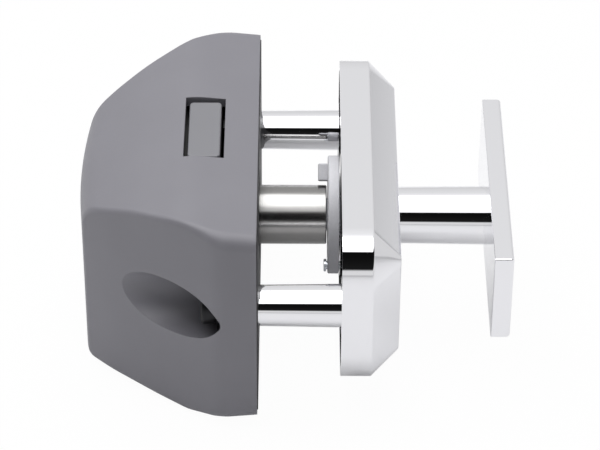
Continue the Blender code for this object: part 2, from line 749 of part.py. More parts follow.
def detent_notch(angle):
    """A shallow groove across the hub disc's rim, at one angle from +Y towards +Z."""
    depth = DETENT_NOTCH
    notch = block("detent_notch", (HUB_DISC_BACK - CUTTER_OVERRUN, HUB_DISC_FRONT + CUTTER_OVERRUN),
                  (HUB_DISC_RADIUS - depth, HUB_DISC_RADIUS + CUTTER_OVERRUN),
                  (-DETENT_NOTCH_WIDTH / 2, DETENT_NOTCH_WIDTH / 2))
    notch.data.transform(Matrix.Translation(notch.location))
    notch.location = (0, 0, 0)
    notch.rotation_euler = (angle, 0, 0)
    return notch


def crank_pin_place():
    """Where the crank pin stands at rest: half the turn below the level of the spindle."""
    return CRANK_RADIUS * cos(TURN / 2), -CRANK_RADIUS * sin(TURN / 2)


def make_crank_pin():
    y, z = crank_pin_place()
    pin = rod("crank_pin", CRANK_PIN_RADIUS, BOLT_BACK + CLEARANCE,
              HUB_DISC_FRONT - CRANK_PIN_FLOOR - CLEARANCE, y, z, SIDES_SMALL)
    return as_part(pin, satin_steel())


def make_bolt():
    """The flat bolt: its tail has a level slot for the crank pin."""
    half = BOLT_LENGTH / 2
    pin_y, pin_z = crank_pin_place()
    play = CRANK_PIN_RADIUS + BOLT_SLOT_PLAY
    foot = pin_z - play - BOLT_FOOT
    head = CASE_TOP + CASE_TOP_RISE - BOLT_RECESS
    outline = rounded([(half, foot, BOLT_EDGE), (half, head, BOLT_CORNER),
                       (-half, head, BOLT_CORNER), (-half, foot, BOLT_EDGE)])
    bolt = plate("bolt", outline, BOLT_BACK, BOLT_FRONT)
    slot_middle = (pin_y + CRANK_RADIUS) / 2
    slot_half = (CRANK_RADIUS - pin_y) / 2 + play
    slot = plate("bolt_slot", rounded(rectangle(
        slot_half, pin_z - play, pin_z + play, play - CLEARANCE)),
        BOLT_BACK - CUTTER_OVERRUN, BOLT_FRONT + CUTTER_OVERRUN)
    slot.location.y = slot_middle
    cut(bolt, slot)
    return as_part(bolt, bolt_plastic())


def make_detent_spring():
    """A steel strip, fixed at one end, whose bump sits in the hub's notch."""
    low = detent_strip_low()
    high = low + DETENT_STRIP_THICKNESS
    rise = DETENT_BUMP_HEIGHT
    width = DETENT_BUMP_HALF_WIDTH
    crest = 0.2 * width
    lower = [(DETENT_FIXED_Y, low), (-width, low), (-crest, low + rise), (crest, low + rise),
             (width, low), (DETENT_FREE_Y, low)]
    upper = [(y, z + high - low) for y, z in reversed(lower)]
    half = DETENT_STRIP_WIDTH / 2
    strip = plate("detent_spring", lower + upper, detent_x() - half, detent_x() + half)
    cut(strip, upright("detent_hole", DETENT_SCREW_RADIUS + CLEARANCE,
                       low - CUTTER_OVERRUN, high + CUTTER_OVERRUN))
    return as_part(strip, spring_steel())


def make_detent_screw():
    seat = detent_strip_low() + DETENT_STRIP_THICKNESS + CLEARANCE
    screw = headed_screw("detent_screw", 0, DETENT_SCREW_RADIUS, DETENT_SCREW_LENGTH,
                         DETENT_HEAD_RADIUS, DETENT_HEAD_HEIGHT, DETENT_SCREW_RADIUS,
                         DETENT_HEAD_HEIGHT / 2, -1)
    mesh = evaluated(screw)
    bm = bmesh.new()
    bm.from_mesh(mesh)
    bpy.data.objects.remove(screw)
    screw = object_from("detent_screw", bm)
    screw.rotation_euler = (0, -pi / 2, 0)
    screw.location = (detent_x(), DETENT_SCREW_Y, seat)
    return as_part(screw, zinc_plate())


def make_escutcheon():
    """The hollow die casting with its bevelled front, bearing boss and two drafted posts."""
    outline = rounded(rectangle(
        ESCUTCHEON_HALF_LENGTH, -ESCUTCHEON_HALF_HEIGHT, ESCUTCHEON_HALF_HEIGHT,
        ESCUTCHEON_CORNER))
    body = plate("escutcheon", outline, 0, ESCUTCHEON_SIDE)
    bm = bmesh.new()
    bm.from_mesh(body.data)
    front = max(bm.faces, key=lambda face: face.calc_center_median().x)
    edge = ESCUTCHEON_EDGE
    steps = [(edge / 4, edge),
             (ESCUTCHEON_BEVEL_INSET - 1.25 * edge, ESCUTCHEON_BEVEL_DEPTH - 1.25 * edge),
             (edge, edge / 4)]
    for inset, rise in steps:
        bmesh.ops.inset_region(bm, faces=[front], thickness=inset, depth=rise,
                               use_even_offset=True)
    bm.to_mesh(body.data)
    bm.free()
    inset = ESCUTCHEON_WALL
    pocket = plate("escutcheon_pocket", rounded(rectangle(
        ESCUTCHEON_HALF_LENGTH - inset, inset - ESCUTCHEON_HALF_HEIGHT,
        ESCUTCHEON_HALF_HEIGHT - inset, ESCUTCHEON_CORNER - inset)),
        -CUTTER_OVERRUN, ESCUTCHEON_POCKET)
    cut(pocket,
        rod("centre_boss", ESCUTCHEON_BOSS_RADIUS, 0, ESCUTCHEON_SIDE + CUTTER_OVERRUN,
            sides=SIDES_LARGE),
        rods_at("post_bosses", ESCUTCHEON_POST_BOSS, 0, ESCUTCHEON_SIDE + CUTTER_OVERRUN,
                POST_PLACES, SIDES_MEDIUM))
    cut(body, pocket)
    tip = CASE_FACE - POST_DEPTH_IN_CASE
    root = CUTTER_OVERRUN
    posts = turned("post_one", [(root, 0), (root, POST_ROOT_RADIUS), (0, POST_ROOT_RADIUS),
                                (tip, POST_TIP_RADIUS), (tip, 0)])
    join(body, cutters_at("posts", posts, POST_PLACES))
    thread_end = CLAMP_SEAT + FIXING_SCREW_LENGTH + CUTTER_OVERRUN
    cut(body,
        rod("stem_bore", STEM_BORE, -CUTTER_OVERRUN, ESCUTCHEON_FRONT + CUTTER_OVERRUN,
            sides=SIDES_LARGE),
        rod("retainer_pocket", RETAINER_POCKET_RADIUS, -CUTTER_OVERRUN, RETAINER_POCKET_DEPTH,
            sides=SIDES_LARGE),
        rods_at("post_threads", FIXING_SCREW_RADIUS + CLEARANCE, tip - CUTTER_OVERRUN,
                thread_end, POST_PLACES),
        rods_at("bearing_screw_threads", BEARING_SCREW_RADIUS + CLEARANCE, -CUTTER_OVERRUN,
                BEARING_SCREW_DEPTH + CUTTER_OVERRUN, bearing_screw_places()))
    return as_part(body, chrome())


def bearing_screw_places():
    return [(0, BEARING_SCREW_CIRCLE * cos(angle), BEARING_SCREW_CIRCLE * sin(angle))
            for angle in BEARING_SCREW_ANGLES]


def make_bearing_plate():
    """The satin disc that closes the escutcheon's boss, with one lug that keys into the door."""
    back = -CLEARANCE - BEARING_PLATE_THICKNESS
    disc = tube("bearing_plate", back, -CLEARANCE, SLEEVE_BORE, BEARING_PLATE_RADIUS, SIDES_LARGE)
    deep, along, across = LUG_SIZE
    lug = block("lug", (back - deep, back + CLEARANCE), (LUG_RADIUS - across / 2, LUG_RADIUS + across / 2),
                (-along / 2, along / 2))
    lug.data.transform(Matrix.Translation(lug.location))
    lug.location = (0, 0, 0)
    lug.rotation_euler = (LUG_ANGLE, 0, 0)
    join(disc, lug)
    cut(disc, rods_at("bearing_screw_holes", BEARING_SCREW_RADIUS + CLEARANCE,
                      back - CUTTER_OVERRUN, CUTTER_OVERRUN, bearing_screw_places()))
    return as_part(disc, satin_zinc())


def make_bearing_screws():
    seat = -BEARING_PLATE_THICKNESS - 2 * CLEARANCE
    one = headed_screw("bearing_screw_one", seat, BEARING_SCREW_RADIUS, BEARING_SCREW_DEPTH - seat,
                       BEARING_HEAD_RADIUS, BEARING_HEAD_HEIGHT, BEARING_SCREW_RADIUS * 0.8,
                       BEARING_HEAD_HEIGHT / 2, 1)
    copies("bearing_screw", one, bearing_screw_places(), zinc_plate())


def make_stem_bush():
    inner = STEM_JOURNAL_RADIUS + CLEARANCE
    bush = tube("stem_bush", RETAINER_POCKET_DEPTH, ESCUTCHEON_FRONT - STEM_BUSH_RECESS,
                inner, inner + STEM_BUSH_WALL, SIDES_LARGE)
    return as_part(bush, bearing_plastic())


def make_wave_washer():
    """A thin ring with three waves, between the circlip and the boss."""
    middle = (CIRCLIP_X + CIRCLIP_THICKNESS + RETAINER_POCKET_DEPTH) / 2
    half = WAVE_THICKNESS / 2
    ring = tube("wave_one", -half, half, WAVE_INNER_RADIUS, WAVE_OUTER_RADIUS, SIDES_LARGE)
    bm = bmesh.new()
    bm.from_mesh(evaluated(ring))
    bpy.data.objects.remove(ring)
    for vert in bm.verts:
        angle = atan2(vert.co.z, vert.co.y)
        vert.co.x += middle + WAVE_HEIGHT * cos(WAVE_COUNT * angle)
    return as_part(object_from("wave_washer", bm), spring_steel())


def make_circlip():
    """An open ring in the stem's groove."""
    inner = CIRCLIP_GROOVE_RADIUS + CLEARANCE
    gap = CIRCLIP_OPENING / 2
    steps = 24
    angles = [-pi / 2 + gap + (2 * pi - 2 * gap) * k / steps for k in range(steps + 1)]
    outline = [(CIRCLIP_RADIUS * cos(a), CIRCLIP_RADIUS * sin(a)) for a in angles]
    outline += [(inner * cos(a), inner * sin(a)) for a in reversed(angles)]
    clip = plate("handle_circlip", outline, CIRCLIP_X, CIRCLIP_X + CIRCLIP_THICKNESS)
    return as_part(clip, spring_steel())


def make_handle():
    """The T handle: one casting of a flat grip and a slightly tapered stem."""
    grip_back = GRIP_DISTANCE
    grip = block("handle", (grip_back, grip_back + GRIP_THICKNESS),
                 (-GRIP_HALF_LENGTH, GRIP_HALF_LENGTH), (-GRIP_HALF_HEIGHT, GRIP_HALF_HEIGHT))
    grip.data.transform(Matrix.Translation(grip.location))
    grip.location = (0, 0, 0)
    round_edges(grip, GRIP_EDGE, 3)
    groove_low = CIRCLIP_X - CLEARANCE
    groove_high = CIRCLIP_X + CIRCLIP_THICKNESS + CLEARANCE
    root = GRIP_DISTANCE + GRIP_THICKNESS / 2
    stem = turned("handle_stem", [
        (root, 0), (root, STEM_ROOT_RADIUS), (GRIP_DISTANCE, STEM_ROOT_RADIUS),
        (ESCUTCHEON_FRONT + CLEARANCE, STEM_RADIUS),
        (ESCUTCHEON_FRONT + CLEARANCE, STEM_JOURNAL_RADIUS),
        (groove_high, STEM_JOURNAL_RADIUS), (groove_high, CIRCLIP_GROOVE_RADIUS),
        (groove_low, CIRCLIP_GROOVE_RADIUS), (groove_low, STEM_JOURNAL_RADIUS),
        (STEM_END, STEM_JOURNAL_RADIUS), (STEM_END, 0)], sides=SIDES_LARGE)
    join(grip, stem)
    cut(grip,
        square_bar("spindle_socket", SPINDLE_SIDE + 2 * CLEARANCE, -CUTTER_OVERRUN,
                   SPINDLE_OUTER_END + CLEARANCE),
        cross_rod("pin_hole", SPINDLE_PIN_RADIUS + CLEARANCE,
                  STEM_JOURNAL_RADIUS + CUTTER_OVERRUN))
    return as_part(grip, chrome())


def cross_rod(name, radius, half_length):
    """A cylinder through two flats of the spindle, where its pin goes."""
    bpy.ops.mesh.primitive_cylinder_add(
        vertices=SIDES_SMALL, radius=radius, depth=2 * half_length,
        location=(SPINDLE_PIN_X, 0, 0), rotation=(SPINDLE_TURN, 0, 0))
    obj = bpy.context.object
    obj.name = name
    return obj


def make_spindle():
    bar = square_bar("spindle", SPINDLE_SIDE, SPINDLE_INNER_END, SPINDLE_OUTER_END)
    round_edges(bar, SPINDLE_EDGE, 1)
    cut(bar, cross_rod("spindle_pin_hole", SPINDLE_PIN_RADIUS + CLEARANCE, SPINDLE_SIDE))
    return as_part(bar, zinc_plate())


def make_spindle_pin():
    pin = cross_rod("spindle_pin", SPINDLE_PIN_RADIUS, STEM_JOURNAL_RADIUS - CLEARANCE)
    return as_part(pin, spring_steel())


def make_spindle_sleeve():
    """The satin tube round the spindle where it passes through the door."""
    low = CASE_FACE - HUB_COLLAR_DEPTH + CLEARANCE
    high = -BEARING_PLATE_THICKNESS - 2 * CLEARANCE
    return as_part(tube("spindle_sleeve", low, high, SLEEVE_BORE, SLEEVE_RADIUS, SIDES_LARGE),
                   satin_steel())


def make_fixing_washers():
    high = CLAMP_SEAT - CLEARANCE
    one = tube("fixing_washer_one", high - FIXING_WASHER_THICKNESS, high,
               FIXING_SCREW_RADIUS + CLEARANCE, FIXING_WASHER_RADIUS)
    copies("fixing_washer", one, POST_PLACES, black_oxide())


def make_fixing_screws():
    seat = CLAMP_SEAT - FIXING_WASHER_THICKNESS - 2 * CLEARANCE
    one = headed_screw("fixing_screw_one", seat, FIXING_SCREW_RADIUS, FIXING_SCREW_LENGTH,
                       FIXING_HEAD_RADIUS, FIXING_HEAD_HEIGHT, FIXING_DRIVE_RADIUS,
                       FIXING_DRIVE_DEPTH, 1)
    copies("fixing_screw", one, POST_PLACES, black_oxide())


make_case()
make_base_plate()
make_base_screws()
make_chassis()
make_chassis_screws()
make_hub_bush()
make_detent_spring()
make_detent_screw()
make_escutcheon()
make_bearing_plate()
make_bearing_screws()
make_stem_bush()
make_wave_washer()
make_fixing_washers()
make_fixing_screws()
make_handle()
make_circlip()
make_spindle()
make_spindle_pin()
make_spindle_sleeve()
make_crank_hub()
make_crank_pin()
make_bolt()
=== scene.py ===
# %% [markdown]
# # A through-door cupboard lock in chrome and grey plastic
# A T handle outside the door turns a spindle. The spindle goes through the door into a grey
# case, where a crank lifts a flat bolt. This lesson dresses a finished CAD model of the lock:
# it loads the CAD as a fixed frame, builds finer surfaces over the pieces that are seen, and
# gives every piece a material worked out from what the real one is made of.

# %% Load the frame
from math import atan2, ceil, cos, pi, radians, sin, tan

import bmesh
import bpy
import numpy as np
from mathutils import Matrix, Vector


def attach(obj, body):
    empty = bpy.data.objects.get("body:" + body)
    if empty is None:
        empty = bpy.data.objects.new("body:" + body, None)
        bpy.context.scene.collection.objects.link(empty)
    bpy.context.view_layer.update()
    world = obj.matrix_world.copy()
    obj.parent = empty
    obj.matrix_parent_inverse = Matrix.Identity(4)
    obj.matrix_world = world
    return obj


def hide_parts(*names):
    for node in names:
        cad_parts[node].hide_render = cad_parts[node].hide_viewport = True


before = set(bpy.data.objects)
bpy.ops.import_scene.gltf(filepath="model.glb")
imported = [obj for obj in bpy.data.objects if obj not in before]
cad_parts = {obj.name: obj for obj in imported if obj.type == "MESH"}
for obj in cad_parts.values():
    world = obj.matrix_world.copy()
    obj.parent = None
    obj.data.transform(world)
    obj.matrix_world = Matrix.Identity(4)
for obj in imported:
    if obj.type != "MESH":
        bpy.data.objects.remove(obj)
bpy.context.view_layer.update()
MM = 0.001


# %% [markdown]
# ## The camera
# The photograph was taken from well above the spindle's axis with a long lens, so the lock
# looks almost drawn without perspective. A camera could be placed by eye, but lines of known
# length in the photograph give it exactly. The numbers below came from fitting the outlines of
# the case, the escutcheon and the grip.

# %% Camera
TILT = radians(51.33)  # away from looking straight down
LENS_PIXELS = 2876  # focal length in the photograph's pixels
PIXELS_PER_MM = 4.215
CENTRE_PIXELS = Vector((39.76, 10.73))  # from the picture's centre to the lock's origin
YAW = 0.0030  # radians, as is the roll
ROLL = 0.0066
IMAGE_WIDTH = 600
SENSOR_MM = 36
NEAREST_SEEN = 0.01  # metres

across = Vector((cos(YAW), -sin(YAW), 0))
along = Vector((sin(YAW), cos(YAW), 0))
upward = cos(TILT) * along + sin(TILT) * Vector((0, 0, 1))
forward = sin(TILT) * along - cos(TILT) * Vector((0, 0, 1))
centre = -CENTRE_PIXELS / PIXELS_PER_MM
distance = LENS_PIXELS / PIXELS_PER_MM
place = (across * centre.x + upward * centre.y - forward * distance) * MM
right = cos(ROLL) * across + sin(ROLL) * upward
up = cos(ROLL) * upward - sin(ROLL) * across
turn = Matrix((right, up, -forward)).transposed().to_4x4()
camera = bpy.data.objects.new("camera", bpy.data.cameras.new("camera"))
bpy.context.scene.collection.objects.link(camera)
camera.matrix_world = Matrix.Translation(place) @ turn
camera.data.sensor_width = SENSOR_MM
camera.data.lens = SENSOR_MM * LENS_PIXELS / IMAGE_WIDTH
camera.data.clip_start = NEAREST_SEEN
bpy.context.scene.camera = camera
bpy.context.scene.view_settings.view_transform = "Standard"
print(f"camera {distance:.0f} mm away, lens {camera.data.lens:.0f} mm")

# %% [markdown]
# ## Two small tools for materials
# A colour picked from a screen is an sRGB value, but shaders count in linear light, so each hex
# colour goes through one function. Nodes are wired by one function too: it takes the node's
# kind, its inputs, and its settings. A colour mix keeps its factor in socket 0 and its two
# colours in sockets 6 and 7, and gives its result in socket 2.

# %% Colour and node tools
WHITE = (1, 1, 1, 1)


def linear(hex_colour):
    """An sRGB hex colour as linear RGBA."""
    channels = [int(hex_colour[i:i + 2], 16) / 255 for i in (0, 2, 4)]
    values = [c / 12.92 if c <= 0.04045 else ((c + 0.055) / 1.055) ** 2.4 for c in channels]
    return (*values, 1)


def add(tree, kind, inputs=None, **settings):
    """A shader node. Each input takes a value or another node's output."""
    node = tree.nodes.new("ShaderNode" + kind)
    for name, value in settings.items():
        setattr(node, name, value)
    for name, value in (inputs or {}).items():
        if isinstance(value, bpy.types.NodeSocket):
            tree.links.new(value, node.inputs[name])
        else:
            node.inputs[name].default_value = value
    return node


def per_mm(size):
    """The scale of a texture whose features are this many millimetres across."""
    return 1 / (size * MM)


def new_material(name):
    """A material with an empty tree."""
    material = bpy.data.materials.new(name)
    material.use_nodes = True
    material.node_tree.nodes.clear()
    return material, material.node_tree


def surface(tree, shader):
    """Give a material's tree its output."""
    add(tree, "OutputMaterial", {"Surface": shader})


print("grey of 0x80 is", round(linear("808080")[0], 3), "in linear light")

# %% [markdown]
# ## Studio
# Polished metal shows little but its surroundings, so the room is part of the finish. The
# photograph's chrome shows a bright ceiling, a dark band where the camera stands, and paler
# walls. The world paints those by direction for rays that bounce off something shiny. Plain
# surfaces get the same room at a lower level, so that a colour comes out about as it is written,
# and the camera itself sees a white backdrop.

# %% World
# Each stop is (height, brightness). Height is 0 straight down, 0.5 level and 1 straight up.
# One wall turns into the other over the range of Y in WALLS_MEET.
CAMERA_WALL = [(0.0, 0.8), (0.57, 0.8), (0.604, 0.012), (0.8, 0.005), (0.866, 0.005),
               (0.885, 1.8), (1.0, 1.8)]
FAR_WALL = [(0.0, 0.75), (0.544, 0.75), (0.815, 0.86), (0.894, 0.98), (0.924, 1.35),
            (0.955, 1.8), (1.0, 1.8)]
WALLS_MEET = (-0.12, 0.0)
ROOM_LIGHT = 0.46


def paint_world():
    """Two walls of light by height, dimmed for plain surfaces and white for the camera."""
    world = bpy.data.worlds.new("studio")
    bpy.context.scene.world = world
    world.use_nodes = True
    tree = world.node_tree
    tree.nodes.clear()
    direction = add(tree, "SeparateXYZ", {"Vector": add(tree, "TexCoord").outputs["Generated"]})
    height = add(tree, "MapRange", {"Value": direction.outputs["Z"], "From Min": -1, "From Max": 1})
    ramps = []
    for stops in (CAMERA_WALL, FAR_WALL):
        ramp = add(tree, "ValToRGB", {"Fac": height.outputs[0]})
        elements = ramp.color_ramp.elements
        while len(elements) < len(stops):
            elements.new(1.0)
        for element, (position, level) in zip(elements, stops):
            element.position = position
            element.color = (level, level, level, 1)
        ramps.append(ramp)
    side = add(tree, "MapRange", {"Value": direction.outputs["Y"], "From Min": WALLS_MEET[0],
                                  "From Max": WALLS_MEET[1]})
    room = add(tree, "Mix", {0: side.outputs[0], 6: ramps[0].outputs[0], 7: ramps[1].outputs[0]},
               data_type="RGBA")
    path = add(tree, "LightPath")
    backdrop = add(tree, "Mix", {0: path.outputs["Is Camera Ray"], 6: room.outputs[2], 7: WHITE},
                   data_type="RGBA")
    shiny = add(tree, "Math", {0: path.outputs["Is Glossy Ray"],
                               1: path.outputs["Is Transmission Ray"]}, operation="MAXIMUM")
    shown = add(tree, "Math", {0: path.outputs["Is Camera Ray"], 1: shiny.outputs[0]},
                operation="MAXIMUM")
    strength = add(tree, "MapRange", {"Value": shown.outputs[0], "To Min": ROOM_LIGHT, "To Max": 1})
    light = add(tree, "Background", {"Color": backdrop.outputs[2], "Strength": strength.outputs[0]})
    add(tree, "OutputWorld", {"Surface": light.outputs[0]})


paint_world()
print("plain surfaces get", ROOM_LIGHT, "of the room's level")

# %% [markdown]
# The lock lies on the flat underside of its case, so the floor is just below it. Chrome near the
# floor shows it, with the lock's own shadow, which is why the tubes are darker underneath. The
# camera sees the floor nearly white, with a trace of that shadow. One large soft lamp hangs
# overhead, a little to the case's side.

# %% Floor and lamp
# Sizes and places here are in metres.
FLOOR_SIZE = 8
FLOOR_DEPTH = 0.031
CAMERA_WHITE = 0.97
MIRRORED_WHITE = 0.15
KEY_PLACE = (-0.15, 0.1, 0.7)
KEY_SIZE = 0.7
KEY_POWER = 4.0


def make_floor():
    """A paper floor, nearly plain white to the camera and a little whiter in reflections."""
    bpy.ops.mesh.primitive_plane_add(size=FLOOR_SIZE, location=(0, 0, -FLOOR_DEPTH))
    floor = bpy.context.object
    floor.name = "floor"
    material, tree = new_material("pale_paper_floor")
    path = add(tree, "LightPath")
    shiny = add(tree, "Math", {0: path.outputs["Is Glossy Ray"],
                               1: path.outputs["Is Transmission Ray"]}, operation="MAXIMUM")
    mirrored = add(tree, "Math", {0: shiny.outputs[0], 1: MIRRORED_WHITE}, operation="MULTIPLY")
    share = add(tree, "Math", {0: path.outputs["Is Camera Ray"], 1: CAMERA_WHITE,
                               2: mirrored.outputs[0]}, operation="MULTIPLY_ADD")
    paper = add(tree, "BsdfDiffuse", {"Color": linear("FAFAFB")})
    white = add(tree, "Emission", {"Color": WHITE, "Strength": 1})
    chosen = add(tree, "MixShader", {"Fac": share.outputs[0], 1: paper.outputs[0],
                                     2: white.outputs[0]})
    surface(tree, chosen.outputs[0])
    floor.data.materials.append(material)


def make_key_lamp():
    """A large soft lamp overhead."""
    data = bpy.data.lights.new("key", "AREA")
    data.shape = "SQUARE"
    data.size = KEY_SIZE
    data.energy = KEY_POWER
    lamp = bpy.data.objects.new("key", data)
    bpy.context.scene.collection.objects.link(lamp)
    lamp.location = KEY_PLACE
    lamp.rotation_euler = (-Vector(KEY_PLACE)).to_track_quat("-Z", "Y").to_euler()


make_floor()
make_key_lamp()
print(f"floor {FLOOR_DEPTH / MM:.0f} mm below the spindle's axis, lamp of {KEY_POWER} W")

# %% [markdown]
# ## Moulded ABS
# The case, the bolt and the base plate are ABS from a mould whose steel was spark eroded. That
# leaves a fine grain, so the plastic looks soft and even, with a broad dull highlight. The real
# grain is about 0.1 mm; it is drawn at 0.35 mm, because finer would vanish in the render. Wide
# pale and dark clouds are left by the plastic's flow. A Bevel node rounds the sharp edges of the
# cut-outs in shading, as the mould's own small radii do.

# %% ABS
ABS_GRAIN_MM = 0.35
ABS_FLOW_MM = 14
ABS_TINTS = (0.95, 1.05)
ABS_GLOSS_SWING = 0.05


def moulded_abs(name, colour, roughness, edge_mm):
    material, tree = new_material(name)
    place = add(tree, "TexCoord").outputs["Object"]
    grain = add(tree, "TexNoise", {"Vector": place, "Scale": per_mm(ABS_GRAIN_MM), "Detail": 3})
    flow = add(tree, "TexNoise", {"Vector": place, "Scale": per_mm(ABS_FLOW_MM), "Detail": 2})
    low, high = ((*(c * factor for c in linear(colour)[:3]), 1) for factor in ABS_TINTS)
    tint = add(tree, "Mix", {0: flow.outputs["Fac"], 6: low, 7: high}, data_type="RGBA")
    gloss = add(tree, "MapRange", {"Value": grain.outputs["Fac"], "From Min": 0.3, "From Max": 0.7,
                                   "To Min": roughness - ABS_GLOSS_SWING,
                                   "To Max": roughness + ABS_GLOSS_SWING})
    rounded = add(tree, "Bevel", {"Radius": edge_mm * MM}, samples=8)
    bump = add(tree, "Bump", {"Height": grain.outputs["Fac"], "Strength": 0.25,
                              "Distance": 0.03 * MM, "Normal": rounded.outputs[0]})
    plastic = add(tree, "BsdfPrincipled", {"Base Color": tint.outputs[2], "IOR": 1.53,
                                           "Roughness": gloss.outputs[0],
                                           "Normal": bump.outputs[0]})
    surface(tree, plastic.outputs[0])
    return material


case_abs = moulded_abs("moulded_abs_grey", "84838A", roughness=0.5, edge_mm=0.3)
bolt_abs = moulded_abs("moulded_abs_bolt", "838388", roughness=0.45, edge_mm=0.2)
# The base plate is a slightly darker grey ABS; the rest of its near black is painted shade.
base_abs_painted_shade = moulded_abs("moulded_abs_dark_painted_shade", "2A2A2C", roughness=0.5, edge_mm=0.2)
print("moulded:", case_abs.name, bolt_abs.name, base_abs_painted_shade.name)

# %% [markdown]
# ## Acetal, dark with painted shade
# The bushes and the chassis are acetal, a waxy plastic that needs no oil. Its near black is painted
# shade, so the gap round the bolt looks deep. Its gloss is a little higher than the case's.

# %% Acetal
ACETAL_CLOUD_MM = 5
ACETAL_RIPPLE_MM = 0.4


def acetal_painted_shade():
    material, tree = new_material("acetal_painted_shade")
    place = add(tree, "TexCoord").outputs["Object"]
    cloud = add(tree, "TexNoise", {"Vector": place, "Scale": per_mm(ACETAL_CLOUD_MM), "Detail": 2})
    # The near-black tint is painted shade for the gap round the bolt.
    tint = add(tree, "Mix", {0: cloud.outputs["Fac"], 6: linear("1E1E1F"), 7: linear("29292A")},
               data_type="RGBA")
    ripple = add(tree, "TexNoise", {"Vector": place, "Scale": per_mm(ACETAL_RIPPLE_MM)})
    bump = add(tree, "Bump", {"Height": ripple.outputs["Fac"], "Strength": 0.15,
                              "Distance": 0.02 * MM})
    plastic = add(tree, "BsdfPrincipled", {"Base Color": tint.outputs[2], "Roughness": 0.35,
                                           "IOR": 1.48, "Normal": bump.outputs[0]})
    surface(tree, plastic.outputs[0])
    return material


acetal = acetal_painted_shade()
print("bearings:", acetal.name)

# %% [markdown]
# ## Polished chrome plate
# The handle and the escutcheon are zinc castings, polished and then plated. The plate follows
# the polisher's work, so its reflections are sharp but swim a little. That is a very weak, wide
# bump. A fine haze in the roughness keeps it from looking like a mirror of glass.

# %% Chrome
CHROME_SWIM_MM = 7
CHROME_HAZE_MM = 1.5


def polished_chrome():
    material, tree = new_material("polished_chrome_plate")
    place = add(tree, "TexCoord").outputs["Object"]
    swim = add(tree, "TexNoise", {"Vector": place, "Scale": per_mm(CHROME_SWIM_MM), "Detail": 1})
    haze = add(tree, "TexNoise", {"Vector": place, "Scale": per_mm(CHROME_HAZE_MM), "Detail": 4})
    gloss = add(tree, "MapRange", {"Value": haze.outputs["Fac"], "From Min": 0.3, "From Max": 0.7,
                                   "To Min": 0.025, "To Max": 0.06})
    bump = add(tree, "Bump", {"Height": swim.outputs["Fac"], "Strength": 0.12,
                              "Distance": 0.04 * MM})
    metal = add(tree, "BsdfPrincipled", {"Base Color": linear("ECECEF"), "Metallic": 1,
                                         "Roughness": gloss.outputs[0],
                                         "Normal": bump.outputs[0]})
    surface(tree, metal.outputs[0])
    return material


chrome = polished_chrome()
print("plated:", chrome.name)

# %% [markdown]
# ## Turned, tumbled and plated metals
# The sleeve is turned steel. The tool left rings 0.15 mm apart, drawn at 0.5 mm because finer
# would vanish. They are drawn shallower than real ones, which would show as a comb of dark
# lines. The bearing plate and the hub are zinc castings tumbled with stones, so they are dull and
# finely mottled. The fixing screws are blackened steel. The other screws are zinc plated, with a
# faint blue cast and soft stains. The spring parts are dark oiled steel. All five are one recipe
# with other numbers, because each is a metal whose roughness and height follow a pattern.

# %% Metals
STAIN_MM = 4


def worked_metal(name, dark, light, roughness, swing, depth_mm, grain_mm=None, rings_mm=None):
    """A metal with a grain all over, or with rings along X."""
    material, tree = new_material(name)
    place = add(tree, "TexCoord").outputs["Object"]
    stain = add(tree, "TexNoise", {"Vector": place, "Scale": per_mm(STAIN_MM), "Detail": 4})
    tint = add(tree, "Mix", {0: stain.outputs["Fac"], 6: linear(dark), 7: linear(light)},
               data_type="RGBA")
    if rings_mm:
        # A wave texture of scale 1 repeats every 2 pi / 20.
        scale = 2 * pi * per_mm(rings_mm) / 20
        marks = add(tree, "TexWave", {"Vector": place, "Scale": scale, "Distortion": 1.5,
                                      "Detail": 2}, bands_direction="X")
    else:
        marks = add(tree, "TexNoise", {"Vector": place, "Scale": per_mm(grain_mm), "Detail": 3})
    gloss = add(tree, "MapRange", {"Value": marks.outputs["Fac"], "From Min": 0.2, "From Max": 0.8,
                                   "To Min": roughness - swing, "To Max": roughness + swing})
    bump = add(tree, "Bump", {"Height": marks.outputs["Fac"], "Strength": 0.3,
                              "Distance": depth_mm * MM})
    metal = add(tree, "BsdfPrincipled", {"Base Color": tint.outputs[2], "Metallic": 1,
                                         "Roughness": gloss.outputs[0],
                                         "Normal": bump.outputs[0]})
    surface(tree, metal.outputs[0])
    return material


turned_steel = worked_metal("turned_steel", "908F8E", "9C9B9A", roughness=0.22, swing=0.02,
                            depth_mm=0.0004, rings_mm=0.5)
tumbled_zinc = worked_metal("tumbled_zinc", "D6D6D9", "E4E4E7", roughness=0.86, swing=0.05,
                            depth_mm=0.02, grain_mm=0.4)
black_oxide = worked_metal("black_oxide_steel", "2B2B2D", "383839", roughness=0.4, swing=0.06,
                           depth_mm=0.01, grain_mm=0.5)
zinc_plate = worked_metal("bright_zinc_plate", "B4B8BE", "C8CBD0", roughness=0.3, swing=0.08,
                          depth_mm=0.01, grain_mm=0.8)
spring_steel = worked_metal("oiled_spring_steel", "5E5F63", "77787C", roughness=0.3, swing=0.06,
                            depth_mm=0.01, grain_mm=0.5)
metals = (turned_steel, tumbled_zinc, black_oxide, zinc_plate, spring_steel)
print("metals:", *(metal.name for metal in metals))

# %% [markdown]
# ## Rounded corners
# Cast and moulded edges are never sharp, so every drawn line needs arcs at its corners. One
# function finds an arc from a corner and the lines beside it. It serves open lines, such as the
# side view of an edge, and closed outlines, such as a plate seen from its face. Sizes are in
# millimetres, as on a drawing.

# %% Rounding tools
def fillet(before, corner, after, radius, steps):
    """The points of an arc that rounds one corner of a line."""
    back = (before - corner).normalized()
    on = (after - corner).normalized()
    half = back.angle(on) / 2
    hub = corner + (back + on).normalized() * (radius / sin(half))
    first = corner + back * (radius / tan(half)) - hub
    sweep = -first.angle_signed(corner + on * (radius / tan(half)) - hub)
    start = atan2(first.y, first.x)
    turns = [start + sweep * k / steps for k in range(steps + 1)]
    return [hub + radius * Vector((cos(turn), sin(turn))) for turn in turns]


